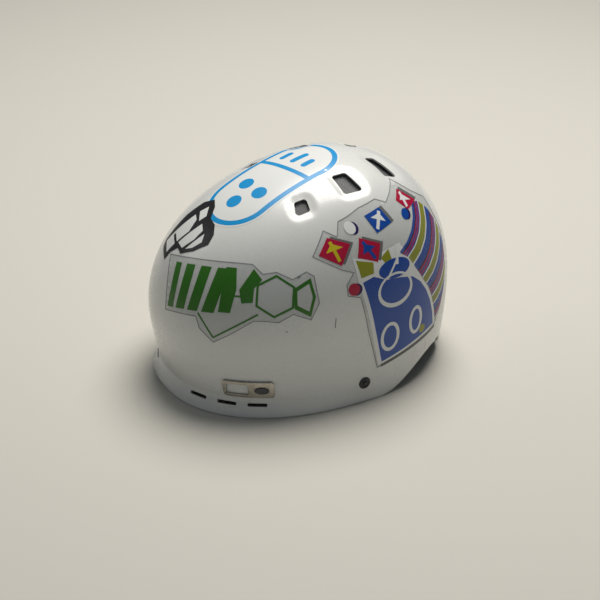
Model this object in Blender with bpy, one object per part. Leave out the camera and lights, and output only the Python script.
"""Brimmed hard-shell sports helmet, standing on its brim and side corners.

Metres, +Z up, the front faces -Y and the wearer's left is +X. The origin is the middle of the
helmet's box at the surface that it stands on. Every layer, from the shell to the comfort pads,
is one dome formula with its own insets, so the layers keep their gaps when a size changes.
"""
import math

import bmesh
import bpy
from mathutils import Matrix, Vector

# ---- driving sizes: the dome ----
HALF_WIDTH = 0.105
FRONT_REACH = 0.158
REAR_REACH = 0.128
DOME_HEIGHT = 0.1186
DOME_Z = 0.0784
NOSE_DOWN = math.radians(13)
PLAN_POWER_FRONT = 2.28
PLAN_POWER_REAR = 2.15
PROFILE_POWER = 2.23
SETTLE = 0.022
NAPE_TUCK = 0.035
# ---- the shell's edge ----
SHELL_WALL = 0.003
LIP_BAND = 0.020
EAR_CUT = 0.026
NAPE_LIFT = 0.006
EAR_CUT_START, EAR_CUT_FULL = math.radians(94), math.radians(132)
NAPE_START, NAPE_FULL = math.radians(140), math.radians(153)
BRIM_FLARE = 0.0075
BRIM_SPREAD = math.radians(82)
CREASE_Z = 0.0155
CREASE_DEPTH = 0.0028
CREASE_SOFTNESS = 0.011
# ---- the foam liner ----
FIT_GAP = 0.0005
FOAM_SIDE, FOAM_FRONT, FOAM_REAR, FOAM_TOP = 0.021, 0.036, 0.026, 0.030
LINER_FRONT_Z, LINER_SIDE_Z, LINER_REAR_Z = 0.021, 0.013, 0.060
# ---- crown vents: place from above, size across, length along the inner and outer edge, slant ----
VENTS = {
    "front": dict(x=0.0481, y=-0.0285, across=0.0140, inner=0.0115, outer=0.0140, slant=-0.0033),
    "middle": dict(x=0.0434, y=0.0192, across=0.0235, inner=0.0145, outer=0.0190, slant=0.0041),
    "rear": dict(x=0.0273, y=0.0648, across=0.0270, inner=0.0110, outer=0.0158, slant=0.0093),
}
VENT_CORNER = 0.0030
MESH_MARGIN = 0.0030
CROWN_CURVE = 0.060
MESH_THICK = 0.0008
CHANNEL_INSET, CHANNEL_DEEP = 0.0008, 0.060
OVERSHOOT = 0.004
# ---- brow slots ----
SLOT_TURNS = (math.radians(15.5), math.radians(26), math.radians(36.5))
SLOT_LONG, SLOT_TALL, SLOT_Z = 0.0175, 0.0032, 0.0120
SLOT_CORNER = 0.0012
# ---- badge ----
BADGE_TURN, BADGE_Z = math.radians(34), 0.0290
BADGE_LONG, BADGE_TALL, BADGE_THICK = 0.042, 0.0170, 0.0016
BADGE_WINDOW, BADGE_END, BADGE_BORDER = 0.0175, 0.0028, 0.0030
EMBLEM_HALF_LONG, EMBLEM_HALF_TALL, EMBLEM_THICK = 0.0062, 0.0034, 0.0008
EMBLEM_FROM_END = 0.0105
# ---- strap rivets ----
RIVETS = {"front": (math.radians(83.7), 0.0205), "rear": (math.radians(160), 0.0270)}
RIVET_HEAD, RIVET_SHANK, WASHER_RADIUS, WASHER_THICK = 0.0058, 0.0022, 0.0058, 0.0010
# ---- webbing and its hardware ----
WEB_WIDE, WEB_THICK = 0.015, 0.0013
BAR = 0.0034
LOOP_RADIUS = 0.00335
BAR_REACH = 0.0144
WEB_PLAY, WEB_SLOT, DIVIDER_RIM = 0.0006, 0.0034, 0.0026
FLOOR_GAP = 0.0008
DIVIDER_AT = Vector((0.060, 0.018, FLOOR_GAP + LOOP_RADIUS + WEB_THICK / 2 + 0.0001))
DIVIDER_TURNS = (math.radians(-5), math.radians(97), math.radians(-100))
BUCKLE_Y = -0.066
BUCKLE_HALF = 0.0140
BUCKLE_TALL = 0.0098
SOCKET_LONG, PLUG_LONG = 0.032, 0.024
BUCKLE_BAR_IN = 0.0033
MOUTH_DEEP = 0.022
MOUTH_HALF = 0.0113
MOUTH_TALL = 0.0058
PRONG_LONG, PRONG_THICK, PRONG_Y = 0.0200, 0.0024, 0.0085
CHIN_PAD_WIDE, CHIN_PAD_THICK = 0.024, 0.0055
# ---- comfort pads ----
PAD_THICK, PAD_GAP = 0.0070, 0.0008
# ---- rear fit system ----
FIT_Y, FIT_Z = 0.1035, 0.0300
HOUSING_HALF_X, HOUSING_HALF_Z, HOUSING_DEEP = 0.023, 0.0145, 0.0090
HOUSING_WALL, HOUSING_CORNER = 0.0016, 0.004
BAND_TALL, BAND_THICK, BAND_GAP = 0.0130, 0.0014, 0.0006
BAND_STRAIGHT, BAND_BEND, BAND_SWEEP = 0.010, 0.040, math.radians(60)
PINION_TEETH, PINION_PITCH_RADIUS, TOOTH_DEEP = 10, 0.0036, 0.0011
BAND_TRAVEL = 0.0088
DIAL_RADIUS, DIAL_THICK, DIAL_RIBS = 0.0140, 0.0085, 18
SPINDLE_BORE, SPINDLE_INTO_DIAL = 0.0030, 0.0050
STEM_PIN_HOLE, STEM_PIN_LONG = 0.0022, 0.0105
STEM_HALF, STEM_THICK = 0.0080, 0.0016

COLUMNS = 48
DOME_ROWS, SKIRT_ROWS, LIP_ROWS = 8, 4, 4


# ---------------------------------------------------------------- scene and helpers
for old in list(bpy.data.objects):
    bpy.data.objects.remove(old, do_unlink=True)


def finish(name, colour, roughness, metallic=0.0):
    """One Principled material."""
    mat = bpy.data.materials.new(name)
    mat.use_nodes = True
    shader = mat.node_tree.nodes["Principled BSDF"]
    shader.inputs["Base Color"].default_value = (*colour, 1)
    shader.inputs["Roughness"].default_value = roughness
    shader.inputs["Metallic"].default_value = metallic
    mat.diffuse_color = (*colour, 1)
    return mat


def solid(name, points, faces, mat=None, smooth=True):
    """A named object from points and faces, with its faces turned outwards."""
    mesh = bpy.data.meshes.new(name)
    bm = bmesh.new()
    corners = [bm.verts.new(p) for p in points]
    for face in faces:
        bm.faces.new([corners[i] for i in face])
    bmesh.ops.recalc_face_normals(bm, faces=bm.faces)
    bm.to_mesh(mesh)
    bm.free()
    if mat:
        mesh.materials.append(mat)
    if smooth:
        mesh.shade_smooth()
        mesh.set_sharp_from_angle(angle=math.radians(35))
    obj = bpy.data.objects.new(name, mesh)
    bpy.context.collection.objects.link(obj)
    return obj


def boolean(obj, tool, operation="DIFFERENCE"):
    """Cut or join `obj` with a hidden tool."""
    tool.hide_render = True
    tool.display_type = "WIRE"
    modifier = obj.modifiers.new(operation.lower() + "_" + tool.name[:30], "BOOLEAN")
    modifier.object = tool
    modifier.operation = operation
    modifier.solver = "EXACT"


def placed(frame, x, y, z):
    """A point given in a local frame (origin, x axis, y axis, z axis)."""
    origin, ax, ay, az = frame
    return origin + ax * x + ay * y + az * z


def prism(name, outline, low, high, frame, mat=None):
    """An outline in the frame's x-y plane, from `low` to `high` along its z axis."""
    count = len(outline)
    points = [placed(frame, x, y, z) for z in (low, high) for x, y in outline]
    sides = [(i, (i + 1) % count, count + (i + 1) % count, count + i) for i in range(count)]
    return solid(name, points, [tuple(range(count)), tuple(range(count, 2 * count))] + sides, mat)


def rounded(corners, radius, steps=3):
    """A convex outline with round corners."""
    outline = []
    count = len(corners)
    for i in range(count):
        here = Vector(corners[i])
        back = (Vector(corners[i - 1]) - here).normalized()
        ahead = (Vector(corners[(i + 1) % count]) - here).normalized()
        half = back.angle(ahead) / 2
        start = here + back * radius / math.tan(half)
        end = here + ahead * radius / math.tan(half)
        centre = here + (back + ahead).normalized() * radius / math.sin(half)
        for k in range(steps + 1):
            spoke = (start - centre).lerp(end - centre, k / steps).normalized()
            outline.append(tuple(centre + spoke * radius))
    return outline


def box_outline(half_x, half_y, radius, steps=3):
    corners = [(-half_x, -half_y), (half_x, -half_y), (half_x, half_y), (-half_x, half_y)]
    return rounded(corners, radius, steps)


def turned(name, profile, frame, segments=20, mat=None):
    """A profile of (radius, height) spun round the frame's z axis; a radius of 0 closes an end."""
    points, rings = [], []
    for radius, height in profile:
        if radius == 0:
            rings.append([len(points)])
            points.append(placed(frame, 0, 0, height))
            continue
        rings.append(list(range(len(points), len(points) + segments)))
        for k in range(segments):
            angle = 2 * math.pi * k / segments
            points.append(placed(frame, radius * math.cos(angle), radius * math.sin(angle), height))
    pairs = list(zip(rings, rings[1:]))
    if len(rings[0]) > 1:
        pairs.append((rings[-1], rings[0]))
    faces = []
    for one, two in pairs:
        for k in range(segments):
            quad = (one[k % len(one)], one[(k + 1) % len(one)], two[(k + 1) % len(two)], two[k % len(two)])
            faces.append(tuple(dict.fromkeys(quad)))
    return solid(name, points, faces, mat)


def frame_at(x, y, z, ax=(1, 0, 0), ay=(0, 1, 0)):
    ax, ay = Vector(ax).normalized(), Vector(ay).normalized()
    return (Vector((x, y, z)), ax, ay, ax.cross(ay))


def block(name, low, high, mat=None, radius=0.0, steps=2):
    """A box between two corners; a radius rounds its upright edges."""
    low, high = Vector(low), Vector(high)
    middle, half = (low + high) / 2, (high - low) / 2
    outline = [(-half.x, -half.y), (half.x, -half.y), (half.x, half.y), (-half.x, half.y)]
    if radius:
        outline = box_outline(half.x, half.y, radius, steps)
    return prism(name, outline, -half.z, half.z, frame_at(*middle), mat)


def smooth_step(value, start, end):
    t = min(1.0, max(0.0, (value - start) / (end - start)))
    return t * t * (3 - 2 * t)


# ---------------------------------------------------------------- the dome that every layer shares
class Layer:
    """One surface of the dome: how far it lies inside the outer surface, and its lower edge."""

    def __init__(self, side, front, rear, top, edge, brim=True):
        self.side, self.front, self.rear, self.top = side, front, rear, top
        self.edge, self.brim = edge, brim

    def deeper(self, depth):
        insets = [inset + depth for inset in (self.side, self.front, self.rear, self.top)]
        return Layer(*insets, self.edge, self.brim)


def shell_edge(turn):
    """Height of the shell's lower edge: flat from the brim to the ears, then cut away, then the nape."""
    turn = abs(turn)
    cut = EAR_CUT * smooth_step(turn, EAR_CUT_START, EAR_CUT_FULL)
    return cut + (NAPE_LIFT - EAR_CUT) * smooth_step(turn, NAPE_START, NAPE_FULL)


def liner_edge(turn):
    """Height of the foam's lower edge."""
    turn = abs(turn)
    aside = smooth_step(turn, math.radians(50), math.radians(75))
    side = LINER_FRONT_Z + (LINER_SIDE_Z - LINER_FRONT_Z) * aside
    ear = EAR_CUT * smooth_step(turn, EAR_CUT_START, EAR_CUT_FULL)
    nape = (LINER_REAR_Z - LINER_SIDE_Z - EAR_CUT) * smooth_step(turn, math.radians(128), math.radians(150))
    return side + ear + nape


def plan_radius(turn, layer):
    """Distance from the dome's axis to its widest line."""
    ahead = math.cos(turn) > 0
    power = PLAN_POWER_FRONT if ahead else PLAN_POWER_REAR
    reach = FRONT_REACH - layer.front if ahead else REAR_REACH - layer.rear
    across = abs(math.sin(turn)) / (HALF_WIDTH - layer.side)
    along = abs(math.cos(turn)) / reach
    return (across**power + along**power) ** (-1 / power)


def tilted(x, y, h):
    """From the dome's own upright frame to the world."""
    return Vector((
        x,
        y * math.cos(NOSE_DOWN) - h * math.sin(NOSE_DOWN) + DOME_Y,
        DOME_Z + y * math.sin(NOSE_DOWN) + h * math.cos(NOSE_DOWN),
    ))


def widest_z(turn, layer):
    return DOME_Z - plan_radius(turn, layer) * math.cos(turn) * math.sin(NOSE_DOWN)


def wall_point(turn, z, layer):
    """A point of the wall below the widest line, at height z."""
    radius = plan_radius(turn, layer)
    drop = max(0.0, widest_z(turn, layer) - z)
    settled = math.tan(NOSE_DOWN) * SETTLE * (1 - math.exp(-drop / SETTLE))
    behind = max(0.0, -math.cos(turn))
    radius *= 1 - NAPE_TUCK * behind * (drop / DOME_Z) ** 2
    if layer.brim:
        share = max(0.0, 1 - (turn / BRIM_SPREAD) ** 2)
        crease = math.exp(-(((z - CREASE_Z) / CREASE_SOFTNESS) ** 2)) if z > CREASE_Z else 1.0
        radius += share * BRIM_FLARE * max(0.0, 1 - z / CREASE_Z)
        radius -= share * CREASE_DEPTH * crease
    return Vector((
        radius * math.sin(turn),
        -radius * math.cos(turn) * math.cos(NOSE_DOWN) + DOME_Y + settled,
        z,
    ))


def dome_point(turn, climb, layer):
    """climb 0 is the crown and 1 the widest line."""
    angle = climb * math.pi / 2
    radius = plan_radius(turn, layer) * math.sin(angle) ** (2 / PROFILE_POWER)
    height = (DOME_HEIGHT - layer.top) * max(0.0, math.cos(angle)) ** (2 / PROFILE_POWER)
    return tilted(radius * math.sin(turn), -radius * math.cos(turn), height)


def crown_point(x, y, layer):
    """The dome's point straight above (x, y)."""
    own_y = y - DOME_Y
    height = 0.0
    for _ in range(40):
        turn = math.atan2(x, -own_y)
        share = min(1.0, math.hypot(x, own_y) / plan_radius(turn, layer))
        height = (DOME_HEIGHT - layer.top) * (1 - share**PROFILE_POWER) ** (1 / PROFILE_POWER)
        own_y = (y - DOME_Y + height * math.sin(NOSE_DOWN)) / math.cos(NOSE_DOWN)
    return tilted(x, own_y, height)


def column(turn, layer):
    """One column of a layer, from just below the crown to its lower edge."""
    points = [dome_point(turn, row / DOME_ROWS, layer) for row in range(1, DOME_ROWS + 1)]
    edge, top = layer.edge(turn), widest_z(turn, layer)
    band = edge + min(LIP_BAND, 0.8 * (top - edge))
    for row in range(1, SKIRT_ROWS + 1):
        share = (row / SKIRT_ROWS) ** 1.5
        points.append(wall_point(turn, top + (band - top) * share, layer))
    for row in range(1, LIP_ROWS + 1):
        points.append(wall_point(turn, band + (edge - band) * row / LIP_ROWS, layer))
    return points


def bowl(name, outer, inner, mat):
    """A closed bowl between two layers."""
    turns = [2 * math.pi * k / COLUMNS - math.pi for k in range(COLUMNS)]
    points, faces, grids = [], [], []
    for layer in (outer, inner):
        pole = len(points)
        points.append(dome_point(0, 0, layer))
        grid = []
        for turn in turns:
            grid.append(list(range(len(points), len(points) + DOME_ROWS + SKIRT_ROWS + LIP_ROWS)))
            points += column(turn, layer)
        grids.append(grid)
        for k in range(COLUMNS):
            one, two = grid[k], grid[(k + 1) % COLUMNS]
            faces.append((pole, one[0], two[0]))
            faces += [(one[r], one[r + 1], two[r + 1], two[r]) for r in range(len(one) - 1)]
    for k in range(COLUMNS):
        nxt = (k + 1) % COLUMNS
        faces.append((grids[0][k][-1], grids[0][nxt][-1], grids[1][nxt][-1], grids[1][k][-1]))
    return solid(name, points, faces, mat)


DOME_Y = 0.0
OUTER = Layer(0, 0, 0, 0, shell_edge)
middle_line = [point.y for turn in (0, math.pi) for point in column(turn, OUTER)]
DOME_Y = -(min(middle_line) + max(middle_line)) / 2
SHELL_INSIDE = OUTER.deeper(SHELL_WALL)
LINER_OUTSIDE = Layer(*[SHELL_WALL + FIT_GAP] * 4, liner_edge)
LINER_INSIDE = Layer(
    SHELL_WALL + FIT_GAP + FOAM_SIDE,
    SHELL_WALL + FIT_GAP + FOAM_FRONT,
    SHELL_WALL + FIT_GAP + FOAM_REAR,
    SHELL_WALL + FIT_GAP + FOAM_TOP,
    liner_edge,
    brim=False,
)


def wall_frame(turn, z, layer=OUTER):
    """A frame on the wall: x along the wall to the wearer's left, y up it, z outwards."""
    here = wall_point(turn, z, layer)
    up = (wall_point(turn, z + 0.001, layer) - here).normalized()
    along = (wall_point(turn + 0.01, z, layer) - wall_point(turn - 0.01, z, layer)).normalized()
    out = along.cross(up).normalized()
    return (here, along, out.cross(along).normalized(), out)


def crown_frame(x, y, side):
    """A frame on the crown: x away from the middle line, y to the rear, z outwards."""
    here = crown_point(side * x, y, OUTER)
    away = crown_point(side * (x + 0.002), y, OUTER) - crown_point(side * (x - 0.002), y, OUTER)
    away.normalize()
    rear = crown_point(side * x, y + 0.002, OUTER) - crown_point(side * x, y - 0.002, OUTER)
    out = away.cross(rear).normalized() * side
    return (here, away, (out.cross(away) * side).normalized(), out)


SIDES = {"left": 1, "right": -1}


# ---------------------------------------------------------------- shell and liner
white_shell = finish("white_shell", (0.72, 0.71, 0.68), 0.28)
foam = finish("foam", (0.03, 0.03, 0.032), 0.85)
mesh_grey = finish("mesh_grey", (0.25, 0.25, 0.26), 0.6)
chrome = finish("chrome", (0.75, 0.74, 0.72), 0.12, 1.0)
dark_enamel = finish("dark_enamel", (0.05, 0.05, 0.055), 0.3)
black_nylon = finish("black_nylon", (0.02, 0.02, 0.022), 0.45)
steel = finish("steel", (0.6, 0.6, 0.6), 0.3, 1.0)
webbing = finish("webbing", (0.025, 0.025, 0.028), 0.8)
pad_cloth = finish("pad_cloth", (0.05, 0.05, 0.055), 0.95)
rubber = finish("rubber", (0.015, 0.015, 0.015), 0.7)

shell = bowl("shell", OUTER, SHELL_INSIDE, white_shell)
liner = bowl("liner", LINER_OUTSIDE, LINER_INSIDE, foam)


def vent_outline(vent, grow):
    """The vent's four-sided outline, away from the middle line and to the rear."""
    half, shift = vent["across"] / 2, vent["slant"] / 2
    inner, outer = vent["inner"] / 2, vent["outer"] / 2
    corners = [
        (-half - grow, -inner - shift - grow),
        (half + grow, -outer + shift - grow),
        (half + grow, outer + shift + grow),
        (-half - grow, inner - shift + grow),
    ]
    return rounded(corners, VENT_CORNER + max(0.0, grow) * 0.5)


def crown_vents():
    """Openings through shell and foam, and a mesh plate in a pocket under each."""
    for side_name, side in SIDES.items():
        for place, vent in VENTS.items():
            frame = crown_frame(vent["x"], vent["y"], side)
            label = side_name + "_" + place
            boolean(shell, prism("cut_vent_" + label, vent_outline(vent, 0), -0.009, 0.012, frame))
            outline = vent_outline(vent, -CHANNEL_INSET)
            boolean(liner, prism("cut_channel_" + label, outline, -CHANNEL_DEEP, OVERSHOOT, frame))
            top = SHELL_WALL + (vent["across"] / 2 + MESH_MARGIN) ** 2 / (2 * CROWN_CURVE) + 2 * FIT_GAP
            floor = top + MESH_THICK + FIT_GAP
            outline = vent_outline(vent, MESH_MARGIN + FIT_GAP)
            boolean(liner, prism("cut_pocket_" + label, outline, -floor, OVERSHOOT, frame))
            outline = vent_outline(vent, MESH_MARGIN)
            prism("vent_mesh_" + label, outline, -top - MESH_THICK, -top, frame, mesh_grey)


def brow_slots():
    for side_name, side in SIDES.items():
        for number, turn in enumerate(SLOT_TURNS):
            outline = box_outline(SLOT_LONG / 2, SLOT_TALL / 2, SLOT_CORNER, 2)
            frame = wall_frame(side * turn, SLOT_Z)
            boolean(shell, prism(f"cut_slot_{side_name}_{number}", outline, -0.012, 0.010, frame))


# ---------------------------------------------------------------- badge
def badge():
    """A chrome plate with a window in its front half, and a plain raised oval on the rest."""
    frame = wall_frame(BADGE_TURN, BADGE_Z)
    half = BADGE_LONG / 2
    sag = half**2 / (2 * HALF_WIDTH)
    low, high = FIT_GAP, FIT_GAP + BADGE_THICK
    steps = 8

    def bent(x, y, z):
        """Follow the shell's curve along the badge."""
        turn = BADGE_TURN + x / plan_radius(BADGE_TURN, OUTER)
        here, _, up, out = wall_frame(turn, BADGE_Z + y)
        return here + out * z

    def bent_plate(name, x0, x1, y0, y1, z0, z1, mat, count):
        points, faces = [], []
        for i in range(count + 1):
            x = x0 + (x1 - x0) * i / count
            points += [bent(x, y, z) for y, z in ((y0, z0), (y1, z0), (y1, z1), (y0, z1))]
        for i in range(count):
            for k in range(4):
                faces.append((4 * i + k, 4 * i + (k + 1) % 4, 4 * i + 4 + (k + 1) % 4, 4 * i + 4 + k))
        faces += [(0, 1, 2, 3), tuple(4 * count + k for k in range(4))]
        return solid(name, points, faces, mat)

    plate = bent_plate("badge", -half, half, -BADGE_TALL / 2, BADGE_TALL / 2, low, high, chrome, steps)
    window_middle = -half + BADGE_END + BADGE_WINDOW / 2
    window = box_outline(BADGE_WINDOW / 2, BADGE_TALL / 2 - BADGE_BORDER, SLOT_CORNER, 2)
    turn = BADGE_TURN + window_middle / plan_radius(BADGE_TURN, OUTER)
    boolean(plate, prism("cut_badge_window", window, -sag - 0.002, 0.006, wall_frame(turn, BADGE_Z)))
    mark_turn = BADGE_TURN + (half - EMBLEM_FROM_END) / plan_radius(BADGE_TURN, OUTER)
    angles = [2 * math.pi * k / 20 for k in range(20)]
    oval = [(EMBLEM_HALF_LONG * math.cos(a), EMBLEM_HALF_TALL * math.sin(a)) for a in angles]
    seat = FIT_GAP + BADGE_THICK + FIT_GAP
    prism("badge_emblem", oval, seat, seat + EMBLEM_THICK, wall_frame(mark_turn, BADGE_Z), dark_enamel)


# ---------------------------------------------------------------- strap rivets
STRAP_SAG = WEB_WIDE**2 / (4 * HALF_WIDTH)
STRAP_IN = SHELL_WALL + FIT_GAP + STRAP_SAG + WEB_THICK / 2
WASHER_IN = STRAP_IN + WEB_THICK / 2 + FIT_GAP
TAIL_IN = WASHER_IN + WASHER_THICK + FIT_GAP
TAIL_THICK = 0.0013
POCKET_MARGIN, POCKET_UP, POCKET_BEHIND = 0.003, 0.016, 0.004


def rod(radius, low, high):
    """The profile of a plain round rod along its axis."""
    return [(0, low), (radius, low), (radius, high), (0, high)]


def rivets():
    """Each rivet clamps a strap end and a washer against the shell, in a pocket of the foam."""
    hole = RIVET_SHANK + FIT_GAP
    tail = TAIL_IN + TAIL_THICK
    rivet_profile = [
        (0, FIT_GAP + 0.0022), (RIVET_HEAD * 0.55, FIT_GAP + 0.0020), (RIVET_HEAD * 0.9, FIT_GAP + 0.0012),
        (RIVET_HEAD, FIT_GAP + 0.0002), (RIVET_HEAD * 0.97, FIT_GAP), (RIVET_SHANK, FIT_GAP),
        (RIVET_SHANK, -TAIL_IN), (RIVET_SHANK * 1.7, -TAIL_IN), (RIVET_SHANK * 1.4, -tail), (0, -tail),
    ]
    washer_profile = [
        (hole, -WASHER_IN), (WASHER_RADIUS, -WASHER_IN),
        (WASHER_RADIUS, -WASHER_IN - WASHER_THICK), (hole, -WASHER_IN - WASHER_THICK),
    ]
    reach = WEB_WIDE / 2 + POCKET_MARGIN
    pocket = [(-reach, -CHANNEL_DEEP), (reach, -CHANNEL_DEEP), (reach, POCKET_UP), (-reach, POCKET_UP)]
    for side_name, side in SIDES.items():
        for place, (turn, z) in RIVETS.items():
            label = place + "_" + side_name
            frame = wall_frame(side * turn, z)
            boolean(shell, turned("cut_rivet_" + label, rod(hole, -2 * SHELL_WALL, OVERSHOOT), frame, 16))
            turned("strap_rivet_" + label, rivet_profile, frame, 20, black_nylon)
            turned("rivet_washer_" + label, washer_profile, frame, 18, steel)
            deep = TAIL_IN + POCKET_BEHIND
            boolean(liner, prism("cut_strap_pocket_" + label, pocket, -deep, OVERSHOOT, frame))


# ---------------------------------------------------------------- webbing
def heading(angle):
    return Vector((math.cos(angle), math.sin(angle), 0))


def on_floor(x, y, angle, lean=0.0, wide=WEB_WIDE, thick=WEB_THICK):
    """A station of webbing that lies on the floor, travelling at `angle`, leaning up on one edge."""
    across = Vector((-math.sin(angle), math.cos(angle), 0))
    lean = math.radians(lean)
    z = FLOOR_GAP + wide / 2 * abs(math.sin(lean)) + thick / 2 * math.cos(lean)
    return (Vector((x, y, z)), across * math.cos(lean) + Vector((0, 0, math.sin(lean))))


def loop_round(bar, angle, tail=0.011):
    """The end of a strap round a bar: under it, round it and back on top. `angle` points away from it."""
    away = heading(angle)
    across = Vector((math.sin(angle), -math.cos(angle), 0))
    stations = [(bar + away * 0.004 + Vector((0, 0, -LOOP_RADIUS)), across)]
    for step in range(5):
        around = math.radians(-90 - 45 * step)
        offset = away * math.cos(around) * LOOP_RADIUS + Vector((0, 0, math.sin(around) * LOOP_RADIUS))
        stations.append((bar + offset, across))
    drop = 2 * LOOP_RADIUS - WEB_THICK - 3 * FIT_GAP
    stations.append((bar + away * 0.0045 + Vector((0, 0, LOOP_RADIUS * 0.86)), across))
    stations.append((bar + away * tail + Vector((0, 0, LOOP_RADIUS - drop)), across))
    return stations


def swept(name, stations, wide, thick, mat, offset=0.0, steps=2):
    """Webbing through its stations (place, direction across), as one closed strip."""
    def catmull(a, b, c, d, t):
        square, cube = 2 * a - 5 * b + 4 * c - d, 3 * b - a - 3 * c + d
        return 0.5 * (2 * b + (c - a) * t + square * t**2 + cube * t**3)

    places = [s[0] for s in stations]
    acrosses = [s[1] for s in stations]
    line = []
    for i in range(len(stations) - 1):
        picks = [max(0, i - 1), i, i + 1, min(len(stations) - 1, i + 2)]
        for k in range(steps):
            t = k / steps
            line.append((catmull(*[places[p] for p in picks], t), acrosses[i].lerp(acrosses[i + 1], t)))
    line.append(stations[-1])
    points, faces = [], []
    for i, (here, across) in enumerate(line):
        ahead = (line[min(i + 1, len(line) - 1)][0] - line[max(i - 1, 0)][0]).normalized()
        across = (across - ahead * across.dot(ahead)).normalized()
        face = ahead.cross(across).normalized()
        here = here + face * offset
        for sx, sy in ((-1, -1), (1, -1), (1, 1), (-1, 1)):
            points.append(here + across * sx * wide / 2 + face * sy * thick / 2)
    for i in range(len(line) - 1):
        for k in range(4):
            faces.append((4 * i + k, 4 * i + (k + 1) % 4, 4 * i + 4 + (k + 1) % 4, 4 * i + 4 + k))
    last = 4 * (len(line) - 1)
    faces += [(0, 1, 2, 3), (last, last + 1, last + 2, last + 3)]
    return solid(name, points, faces, mat)


def mirrored(stations, side):
    """The same strap on the other side of the helmet."""
    if side > 0:
        return stations
    flip = Vector((-1, 1, 1))
    return [(place * flip, Vector((across.x, -across.y, -across.z))) for place, across in stations]


def strap_end_at_rivet(place):
    """Stations from the strap's cut end down past its rivet to the floor."""
    turn, z = RIVETS[place]
    along, out = wall_frame(turn, z)[1::2]
    layer = OUTER.deeper(STRAP_IN)
    inward = Vector((-out.x, -out.y, 0)).normalized()
    bend = wall_point(turn, 0.0125, layer)
    foot = Vector((bend.x, bend.y, 0))
    return [
        (wall_point(turn, z + 0.011, layer), along),
        (wall_point(turn, z, layer), along),
        (bend, along),
        (foot + inward * 0.0012 + Vector((0, 0, 0.0080)), along),
        (foot + inward * 0.0048 + Vector((0, 0, 0.0034)), along),
        (foot + inward * 0.0100 + Vector((0, 0, FLOOR_GAP + WEB_THICK * 0.7)), along),
        (foot + inward * 0.0150 + Vector((0, 0, FLOOR_GAP + WEB_THICK * 0.6)), along),
    ]


def divider_bar(number):
    return DIVIDER_AT + heading(DIVIDER_TURNS[number]) * BAR_REACH


def straps():
    """Front and rear legs from the rivets to the divider under each ear."""
    for side_name, side in SIDES.items():
        front = strap_end_at_rivet("front") + list(loop_round(divider_bar(0), DIVIDER_TURNS[0]))
        rear = strap_end_at_rivet("rear")
        rear += [on_floor(0.0530, 0.0980, math.radians(-82)), on_floor(0.0590, 0.0650, math.radians(-84))]
        rear += list(loop_round(divider_bar(1), DIVIDER_TURNS[1]))
        for place, stations in (("front", front), ("rear", rear)):
            fixed = [(at, across if across.dot(stations[0][1]) > 0 else -across) for at, across in stations]
            strap = swept(f"strap_{place}_{side_name}", mirrored(fixed, side), WEB_WIDE, WEB_THICK, webbing)
            turn, z = RIVETS[place]
            hole = RIVET_SHANK + FIT_GAP
            punch = rod(hole, -TAIL_IN - 2 * WEB_THICK, 0)
            frame = wall_frame(side * turn, z)
            boolean(strap, turned(f"cut_strap_{place}_{side_name}", punch, frame, 12))


def dividers():
    """Three-slot plates that join the two legs to the chin strap."""
    half = WEB_WIDE / 2 + DIVIDER_RIM
    for side_name, side in SIDES.items():
        outline = []
        order = (2, 0, 1)
        for number in order:
            out = heading(DIVIDER_TURNS[number])
            across = Vector((-out.y, out.x, 0))
            for end in (-1, 1):
                corner = out * (BAR_REACH + BAR / 2) + across * half * end
                outline.append((side * corner.x, corner.y))
        centre = Vector((side * DIVIDER_AT.x, DIVIDER_AT.y, DIVIDER_AT.z))
        frame = frame_at(*centre)
        outline = rounded(outline, SLOT_CORNER, 2)
        plate = prism(f"strap_divider_{side_name}", outline, -BAR / 2, BAR / 2, frame, black_nylon)
        for number in range(3):
            out = heading(DIVIDER_TURNS[number])
            out = Vector((side * out.x, out.y, 0))
            slot_frame = (centre, Vector((-out.y, out.x, 0)), out, Vector((0, 0, 1)))
            near, far = BAR_REACH - BAR / 2 - WEB_SLOT, BAR_REACH - BAR / 2
            wide = WEB_WIDE / 2 + WEB_PLAY
            slot = [(-wide, near), (wide, near), (wide, far), (-wide, far)]
            boolean(plate, prism(f"cut_divider_{side_name}_{number}", slot, -BAR, BAR, slot_frame))


BUCKLE_MID_Z = FLOOR_GAP + BUCKLE_TALL / 2
SOCKET_X0 = 0.002
SOCKET_X1 = SOCKET_X0 + SOCKET_LONG
PLUG_X1 = SOCKET_X0 - 0.0010
PLUG_X0 = PLUG_X1 - PLUG_LONG
SOCKET_BAR = Vector((SOCKET_X1 - BUCKLE_BAR_IN, BUCKLE_Y, BUCKLE_MID_Z))
PLUG_BAR = Vector((PLUG_X0 + BUCKLE_BAR_IN, BUCKLE_Y, BUCKLE_MID_Z))
HINGE_X = PLUG_X1 - 0.0022


def chin_line(bar_x):
    """Stations of the chin strap on the left, from the divider to the buckle's bar."""
    start = loop_round(divider_bar(2), DIVIDER_TURNS[2])
    start = [(at, -across) for at, across in reversed(start)]
    wide = CHIN_PAD_WIDE
    path = [
        on_floor(0.0560, -0.0180, math.radians(-93)),
        on_floor(0.0535, -0.0370, math.radians(-102), 30, wide),
        on_floor(0.0480, -0.0525, math.radians(-125), 48, wide),
        on_floor(0.0435, -0.0600, math.radians(-150), 30, wide),
    ]
    end = loop_round(Vector((bar_x, BUCKLE_Y, BUCKLE_MID_Z)), 0.0, 0.0085)
    return start, path, end


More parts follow.
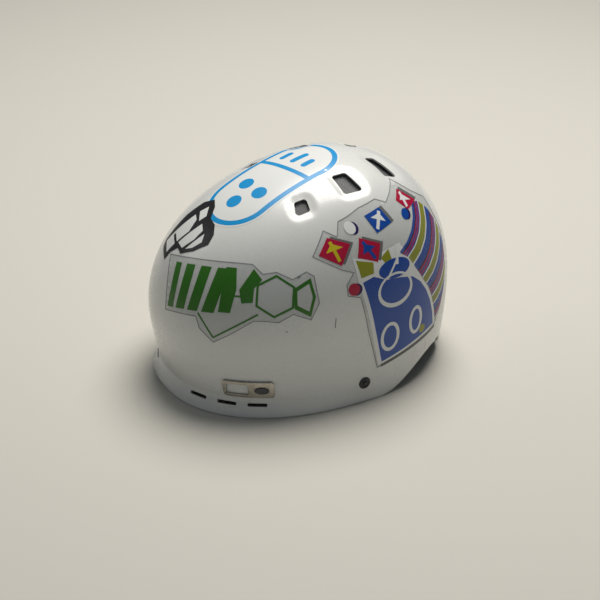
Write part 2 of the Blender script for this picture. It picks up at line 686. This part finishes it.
def chin_straps():
    """Left strap to the socket, right strap to the plug, and the chin pad under the left one."""
    for side_name, side in SIDES.items():
        bar_x = SOCKET_BAR.x if side > 0 else -PLUG_BAR.x
        start, path, end = chin_line(bar_x)
        stations = start + path + end
        fixed = [stations[0]]
        for at, across in stations[1:]:
            fixed.append((at, across if across.dot(fixed[-1][1]) > 0 else -across))
        swept(f"chin_strap_{side_name}", mirrored(fixed, side), WEB_WIDE, WEB_THICK, webbing)
    path = chin_line(SOCKET_BAR.x)[1]
    under = WEB_THICK / 2 + FIT_GAP + CHIN_PAD_THICK / 2
    path = [(at, -across) for at, across in path]
    swept("chin_pad", path, CHIN_PAD_WIDE, CHIN_PAD_THICK, pad_cloth, -under, 4)


def buckle():
    """Side-release buckle: a socket with side windows, a plug with a guide tongue and two spring prongs."""
    mid = BUCKLE_MID_Z
    low, high = FLOOR_GAP, FLOOR_GAP + BUCKLE_TALL
    y0, y1 = BUCKLE_Y - BUCKLE_HALF, BUCKLE_Y + BUCKLE_HALF
    slot_half = WEB_WIDE / 2 + WEB_PLAY
    socket = block("buckle_socket", (SOCKET_X0, y0, low), (SOCKET_X1, y1, high), black_nylon, 0.003)
    half_tall = MOUTH_TALL / 2
    boolean(socket, block(
        "cut_mouth", (SOCKET_X0 - 0.002, BUCKLE_Y - MOUTH_HALF, mid - half_tall),
        (SOCKET_X0 + MOUTH_DEEP, BUCKLE_Y + MOUTH_HALF, mid + half_tall)))
    boolean(socket, block(
        "cut_windows", (SOCKET_X0 + 0.009, y0 - 0.002, mid - half_tall + 0.0003),
        (SOCKET_X0 + 0.0195, y1 + 0.002, mid + half_tall - 0.0003)))
    plug = block("buckle_plug", (PLUG_X0, y0, low), (PLUG_X1, y1, high), black_nylon, 0.003)
    for part, bar, way in ((socket, SOCKET_BAR, -1), (plug, PLUG_BAR, 1)):
        inner = bar.x + way * BAR / 2
        outer = inner + way * WEB_SLOT
        boolean(part, block(
            "cut_slot_" + part.name, (min(inner, outer), BUCKLE_Y - slot_half, low - 0.002),
            (max(inner, outer), BUCKLE_Y + slot_half, high + 0.002)))
        outside = bar.x - way * BAR / 2
        notch = sorted((inner + way * 0.0012, outside - way * 0.004))
        notch_half = slot_half + 0.0004
        for level, (z0, z1) in enumerate(((low - 0.002, mid - BAR / 2), (mid + BAR / 2, high + 0.002))):
            boolean(part, block(
                f"cut_bar_{level}_" + part.name, (notch[0], BUCKLE_Y - notch_half, z0),
                (notch[1], BUCKLE_Y + notch_half, z1)))
    tongue_tall = MOUTH_TALL / 2 - FIT_GAP
    boolean(plug, block(
        "add_tongue", (PLUG_X1 - 0.002, BUCKLE_Y - 0.0026, mid - tongue_tall),
        (SOCKET_X0 + MOUTH_DEEP - 0.0015, BUCKLE_Y + 0.0026, mid + tongue_tall)), "UNION")
    for place, way in (("front", -1), ("rear", 1)):
        pivot = Vector((HINGE_X, BUCKLE_Y + way * PRONG_Y, mid))
        eye = PRONG_THICK / 2 + 0.0004
        hole = rod(eye + FIT_GAP, -BUCKLE_TALL, BUCKLE_TALL)
        boolean(plug, turned("cut_eye_" + place, hole, frame_at(*pivot), 16))
        boolean(plug, block(
            "cut_throat_" + place, (HINGE_X, pivot.y - eye - FIT_GAP, mid - 0.008),
            (PLUG_X1 + 0.001, pivot.y + eye + FIT_GAP, mid + 0.008)))
        nose = HINGE_X + PRONG_LONG
        outward = MOUTH_HALF - FIT_GAP - PRONG_Y
        half = PRONG_THICK / 2
        outline = [
            (0.0009, -half), (nose - HINGE_X, -half), (nose - HINGE_X + 0.0008, -half + 0.0009),
            (nose - HINGE_X - 0.0030, outward), (nose - HINGE_X - 0.0078, outward),
            (nose - HINGE_X - 0.0090, half), (0.0009, half),
        ]
        arc = [math.radians(a) for a in range(60, 301, 40)]
        outline += [(eye * math.cos(a), eye * math.sin(a)) for a in arc]
        spin = (pivot, Vector((1, 0, 0)), Vector((0, way, 0)), Vector((0, 0, 1)))
        prong = prism("buckle_prong_" + place, outline, -tongue_tall, tongue_tall, spin, black_nylon)
        hinge = bpy.data.objects.new("prong_axis_" + place, None)
        hinge.location = pivot
        bpy.context.collection.objects.link(hinge)
        prong.parent = hinge
        prong.matrix_parent_inverse = Matrix.Translation(-pivot)


# ---------------------------------------------------------------- comfort pads
def wall_pad(name, turn0, turn1, low, high, columns=8, rows=3):
    """A pad on the foam's inner wall, between two turns and two heights above the foam's edge."""
    outside = LINER_INSIDE.deeper(PAD_GAP)
    inside = LINER_INSIDE.deeper(PAD_GAP + PAD_THICK)
    points = []
    for layer in (outside, inside):
        for c in range(columns + 1):
            turn = turn0 + (turn1 - turn0) * c / columns
            for r in range(rows + 1):
                z = liner_edge(turn) + low + (high - low) * r / rows
                points.append(surface_at_height(turn, z, layer))
    return solid(name, points, grid_box_faces(columns, rows), pad_cloth)


def surface_at_height(turn, z, layer):
    """The layer's point at a height, on the wall or on the dome above it."""
    if z <= widest_z(turn, layer):
        return wall_point(turn, z, layer)
    low, high = 0.0, 1.0
    for _ in range(40):
        middle = (low + high) / 2
        if dome_point(turn, middle, layer).z > z:
            low = middle
        else:
            high = middle
    return dome_point(turn, low, layer)


def grid_box_faces(columns, rows):
    """Faces of a closed slab made of two grids of points."""
    wide = rows + 1
    count = (columns + 1) * wide
    faces = []
    for c in range(columns):
        for r in range(rows):
            a = c * wide + r
            faces.append((a, a + 1, a + wide + 1, a + wide))
            faces.append((count + a, count + a + wide, count + a + wide + 1, count + a + 1))
    for c in range(columns):
        for r in (0, rows):
            a = c * wide + r
            faces.append((a, a + wide, count + a + wide, count + a))
    for r in range(rows):
        for c in (0, columns):
            a = c * wide + r
            faces.append((a, a + 1, count + a + 1, count + a))
    return faces


def crown_pad(name, x0, x1, y0, y1, columns=4, rows=8):
    """A pad under the foam's crown, with its outline given from above."""
    points = []
    for layer in (LINER_INSIDE.deeper(PAD_GAP), LINER_INSIDE.deeper(PAD_GAP + PAD_THICK)):
        for c in range(columns + 1):
            for r in range(rows + 1):
                points.append(crown_point(x0 + (x1 - x0) * c / columns, y0 + (y1 - y0) * r / rows, layer))
    return solid(name, points, grid_box_faces(columns, rows), pad_cloth)


def pads():
    wall_pad("brow_pad", math.radians(-48), math.radians(48), 0.002, 0.032, 12)
    wall_pad("side_pad_left", math.radians(62), math.radians(104), 0.030, 0.066, 6)
    wall_pad("side_pad_right", math.radians(-62), math.radians(-104), 0.030, 0.066, 6)
    wall_pad("nape_pad_left", math.radians(128), math.radians(163), 0.004, 0.036, 6)
    wall_pad("nape_pad_right", math.radians(-128), math.radians(-163), 0.004, 0.036, 6)
    crown_pad("crown_pad_middle", -0.0110, 0.0110, -0.048, 0.052)
    crown_pad("crown_pad_front", -0.0300, 0.0300, -0.080, -0.058, 6, 3)


# ---------------------------------------------------------------- rear fit system
BAND_LEFT_Y = FIT_Y + HOUSING_WALL + BAND_GAP
BAND_RIGHT_Y = BAND_LEFT_Y + BAND_THICK + BAND_GAP
HOUSING_BACK = FIT_Y + HOUSING_DEEP
COVER_THICK = 0.0014


def lying(x, y, z):
    """A frame whose x-y plane is upright: x to the wearer's left, y up, z to the front."""
    return (Vector((x, y, z)), Vector((1, 0, 0)), Vector((0, 0, 1)), Vector((0, -1, 0)))


def toothed_band(name, y, side, toothed_edge):
    """A strip with a long toothed window at the pinion and a curved arm round the head."""
    pitch = 2 * math.pi * PINION_PITCH_RADIUS / PINION_TEETH
    half = BAND_TRAVEL + PINION_PITCH_RADIUS + TOOTH_DEEP + 0.0012
    root = PINION_PITCH_RADIUS + TOOTH_DEEP / 2 + FIT_GAP
    tip = PINION_PITCH_RADIUS - TOOTH_DEEP / 2 + 0.0001
    teeth = int(half / pitch) - 1
    window = [(-half, -toothed_edge * root), (half, -toothed_edge * root), (half, toothed_edge * root)]
    for k in range(teeth, -teeth - 1, -1):
        for shift, level in ((0.30, root), (0.10, tip), (-0.10, tip), (-0.30, root)):
            window.append(((k + 0.5 + shift) * pitch, toothed_edge * level))
    window.append((-half, toothed_edge * root))
    arm_x = HOUSING_HALF_X + BAND_STRAIGHT
    tip_x = -(half + 0.0022)
    line = [Vector((tip_x, 0)), Vector((arm_x, 0))]
    for k in range(1, 9):
        angle = BAND_SWEEP * k / 8
        line.append(Vector((arm_x + BAND_BEND * math.sin(angle), -BAND_BEND * (1 - math.cos(angle)))))
    points, faces = [], []
    for i, at in enumerate(line):
        ahead = (line[min(i + 1, len(line) - 1)] - line[max(i - 1, 0)]).normalized()
        normal = Vector((-ahead.y, ahead.x))
        narrow = 1.0 if i < len(line) - 2 else (0.85 if i == len(line) - 2 else 0.5)
        for face, level in ((-1, -1), (1, -1), (1, 1), (-1, 1)):
            spot = at + normal * face * BAND_THICK / 2
            tall = level * BAND_TALL / 2 * narrow
            points.append(Vector((side * spot.x, y + BAND_THICK / 2 + spot.y, FIT_Z + tall)))
    for i in range(len(line) - 1):
        for k in range(4):
            faces.append((4 * i + k, 4 * i + (k + 1) % 4, 4 * i + 4 + (k + 1) % 4, 4 * i + 4 + k))
    last = 4 * (len(line) - 1)
    faces += [(0, 1, 2, 3), (last, last + 1, last + 2, last + 3)]
    band = solid(name, points, faces, black_nylon)
    boolean(band, prism("cut_" + name, window, -0.006, 0.006, lying(0, y, FIT_Z)))
    return band


def gear_outline():
    """The pinion's teeth: root, tip, tip and root corners of each, in turn."""
    pitch_angle = 2 * math.pi / PINION_TEETH
    tip = PINION_PITCH_RADIUS + TOOTH_DEEP / 2 - 0.0001
    valley = PINION_PITCH_RADIUS - TOOTH_DEEP / 2 - 0.0001
    outline = []
    for k in range(PINION_TEETH):
        for share, radius in ((-0.26, valley), (-0.08, tip), (0.08, tip), (0.26, valley)):
            angle = math.pi / 2 + (k + share) * pitch_angle
            outline.append((radius * math.cos(angle), radius * math.sin(angle)))
    return outline


def fit_system():
    """Stem on the foam, a housing that slides on it, two toothed bands and the dial that drives them."""
    frame = lying(0, FIT_Y, FIT_Z)
    outline = box_outline(HOUSING_HALF_X, HOUSING_HALF_Z, HOUSING_CORNER)
    housing = prism("fit_housing", outline, -HOUSING_DEEP, 0, frame, black_nylon)
    channel = BAND_TALL / 2 + FIT_GAP
    chamber_back = BAND_RIGHT_Y + BAND_THICK + BAND_GAP
    boolean(housing, block(
        "cut_band_channel", (-HOUSING_HALF_X - 0.002, FIT_Y + HOUSING_WALL, FIT_Z - channel),
        (HOUSING_HALF_X + 0.002, HOUSING_BACK + 0.001, FIT_Z + channel)))
    cover_low = chamber_back + 0.0001
    cover = block(
        "fit_cover", (-HOUSING_HALF_X + 0.0002, cover_low, FIT_Z - channel + FIT_GAP),
        (HOUSING_HALF_X - 0.0002, cover_low + COVER_THICK, FIT_Z + channel - FIT_GAP), black_nylon)
    spindle = SPINDLE_BORE - FIT_GAP
    through = rod(SPINDLE_BORE, -2 * HOUSING_DEEP, 2 * HOUSING_DEEP)
    boolean(cover, turned("cut_cover_bore", through, frame, 16))
    toothed_band("fit_band_left", BAND_LEFT_Y, 1, 1)
    toothed_band("fit_band_right", BAND_RIGHT_Y, -1, -1)
    gear_front, gear_back = BAND_LEFT_Y - 0.0002, chamber_back - 0.0003
    pinion = prism("fit_pinion", gear_outline(), FIT_Y - gear_back, FIT_Y - gear_front, frame, black_nylon)
    dial_front = HOUSING_BACK + 0.0008
    spindle_tip = FIT_Y - dial_front - SPINDLE_INTO_DIAL
    rod_profile = rod(spindle, spindle_tip, FIT_Y - gear_back + 0.001)
    boolean(pinion, turned("add_spindle", rod_profile, frame, 16), "UNION")
    ribs = []
    for k in range(DIAL_RIBS * 4):
        radius = DIAL_RADIUS - (0.0009 if k % 4 in (2, 3) else 0.0)
        angle = 2 * math.pi * (k + 0.5) / (DIAL_RIBS * 4)
        ribs.append((radius * math.cos(angle), radius * math.sin(angle)))
    dial = prism("fit_dial", ribs, FIT_Y - dial_front - DIAL_THICK, FIT_Y - dial_front, frame, rubber)
    socket = rod(SPINDLE_BORE, spindle_tip - FIT_GAP, DIAL_THICK)
    boolean(dial, turned("cut_dial_bore", socket, frame, 16))
    stem_y1 = FIT_Y - FIT_GAP
    stem_y0 = stem_y1 - STEM_THICK
    stem_low, stem_high = FIT_Z - 0.006, liner_edge(math.pi) + 0.004
    stem = block("fit_stem", (-STEM_HALF, stem_y0, stem_low), (STEM_HALF, stem_y1, stem_high), black_nylon)
    for number, x in enumerate((-0.0125, 0.0125)):
        guide = block(
            f"add_guide_{number}", (min(x, x * 0.68), stem_y0 - 0.0016, FIT_Z - 0.006),
            (max(x, x * 0.68), FIT_Y + 0.001, FIT_Z + 0.006))
        boolean(housing, guide, "UNION")
    rear = foam_rear_y(stem_high)
    under = stem_high - STEM_THICK
    foot = block("add_stem_foot", (-STEM_HALF, stem_y0, under), (STEM_HALF, rear - FIT_GAP, stem_high))
    boolean(stem, foot, "UNION")
    tab = block(
        "add_stem_tab", (-STEM_HALF, rear - FIT_GAP - STEM_THICK, under),
        (STEM_HALF, rear - FIT_GAP, stem_high + 0.022))
    boolean(stem, tab, "UNION")
    pin_z = stem_high + 0.014
    pin = (Vector((0, rear - FIT_GAP, pin_z)), Vector((1, 0, 0)), Vector((0, 0, -1)), Vector((0, 1, 0)))
    boolean(stem, turned("cut_stem_pin", rod(STEM_PIN_HOLE, -0.01, 0.01), pin, 12))
    pin_hole = rod(STEM_PIN_HOLE, -0.01, STEM_PIN_LONG + 0.0015)
    boolean(liner, turned("cut_liner_pin", pin_hole, pin, 12))
    seat, shank = -STEM_THICK - FIT_GAP, STEM_PIN_HOLE - FIT_GAP
    turned("stem_pin", [
        (0, seat - 0.0012), (0.0042, seat - 0.0010), (0.0045, seat), (shank, seat),
        (shank, STEM_PIN_LONG), (0, STEM_PIN_LONG + 0.0010)], pin, 16, black_nylon)
    axis = bpy.data.objects.new("dial_axis", None)
    axis.location = (0, FIT_Y, FIT_Z)
    bpy.context.collection.objects.link(axis)
    for part in (dial, pinion):
        part.parent = axis
        part.matrix_parent_inverse = Matrix.Translation((0, -FIT_Y, -FIT_Z))


def foam_rear_y(z):
    """The foam's inner rear wall on the middle line, at a height."""
    return min(surface_at_height(math.pi, z + k * 0.004, LINER_INSIDE).y for k in range(0, 7))


crown_vents()
brow_slots()
badge()
rivets()
straps()
dividers()
chin_straps()
buckle()
pads()
fit_system()
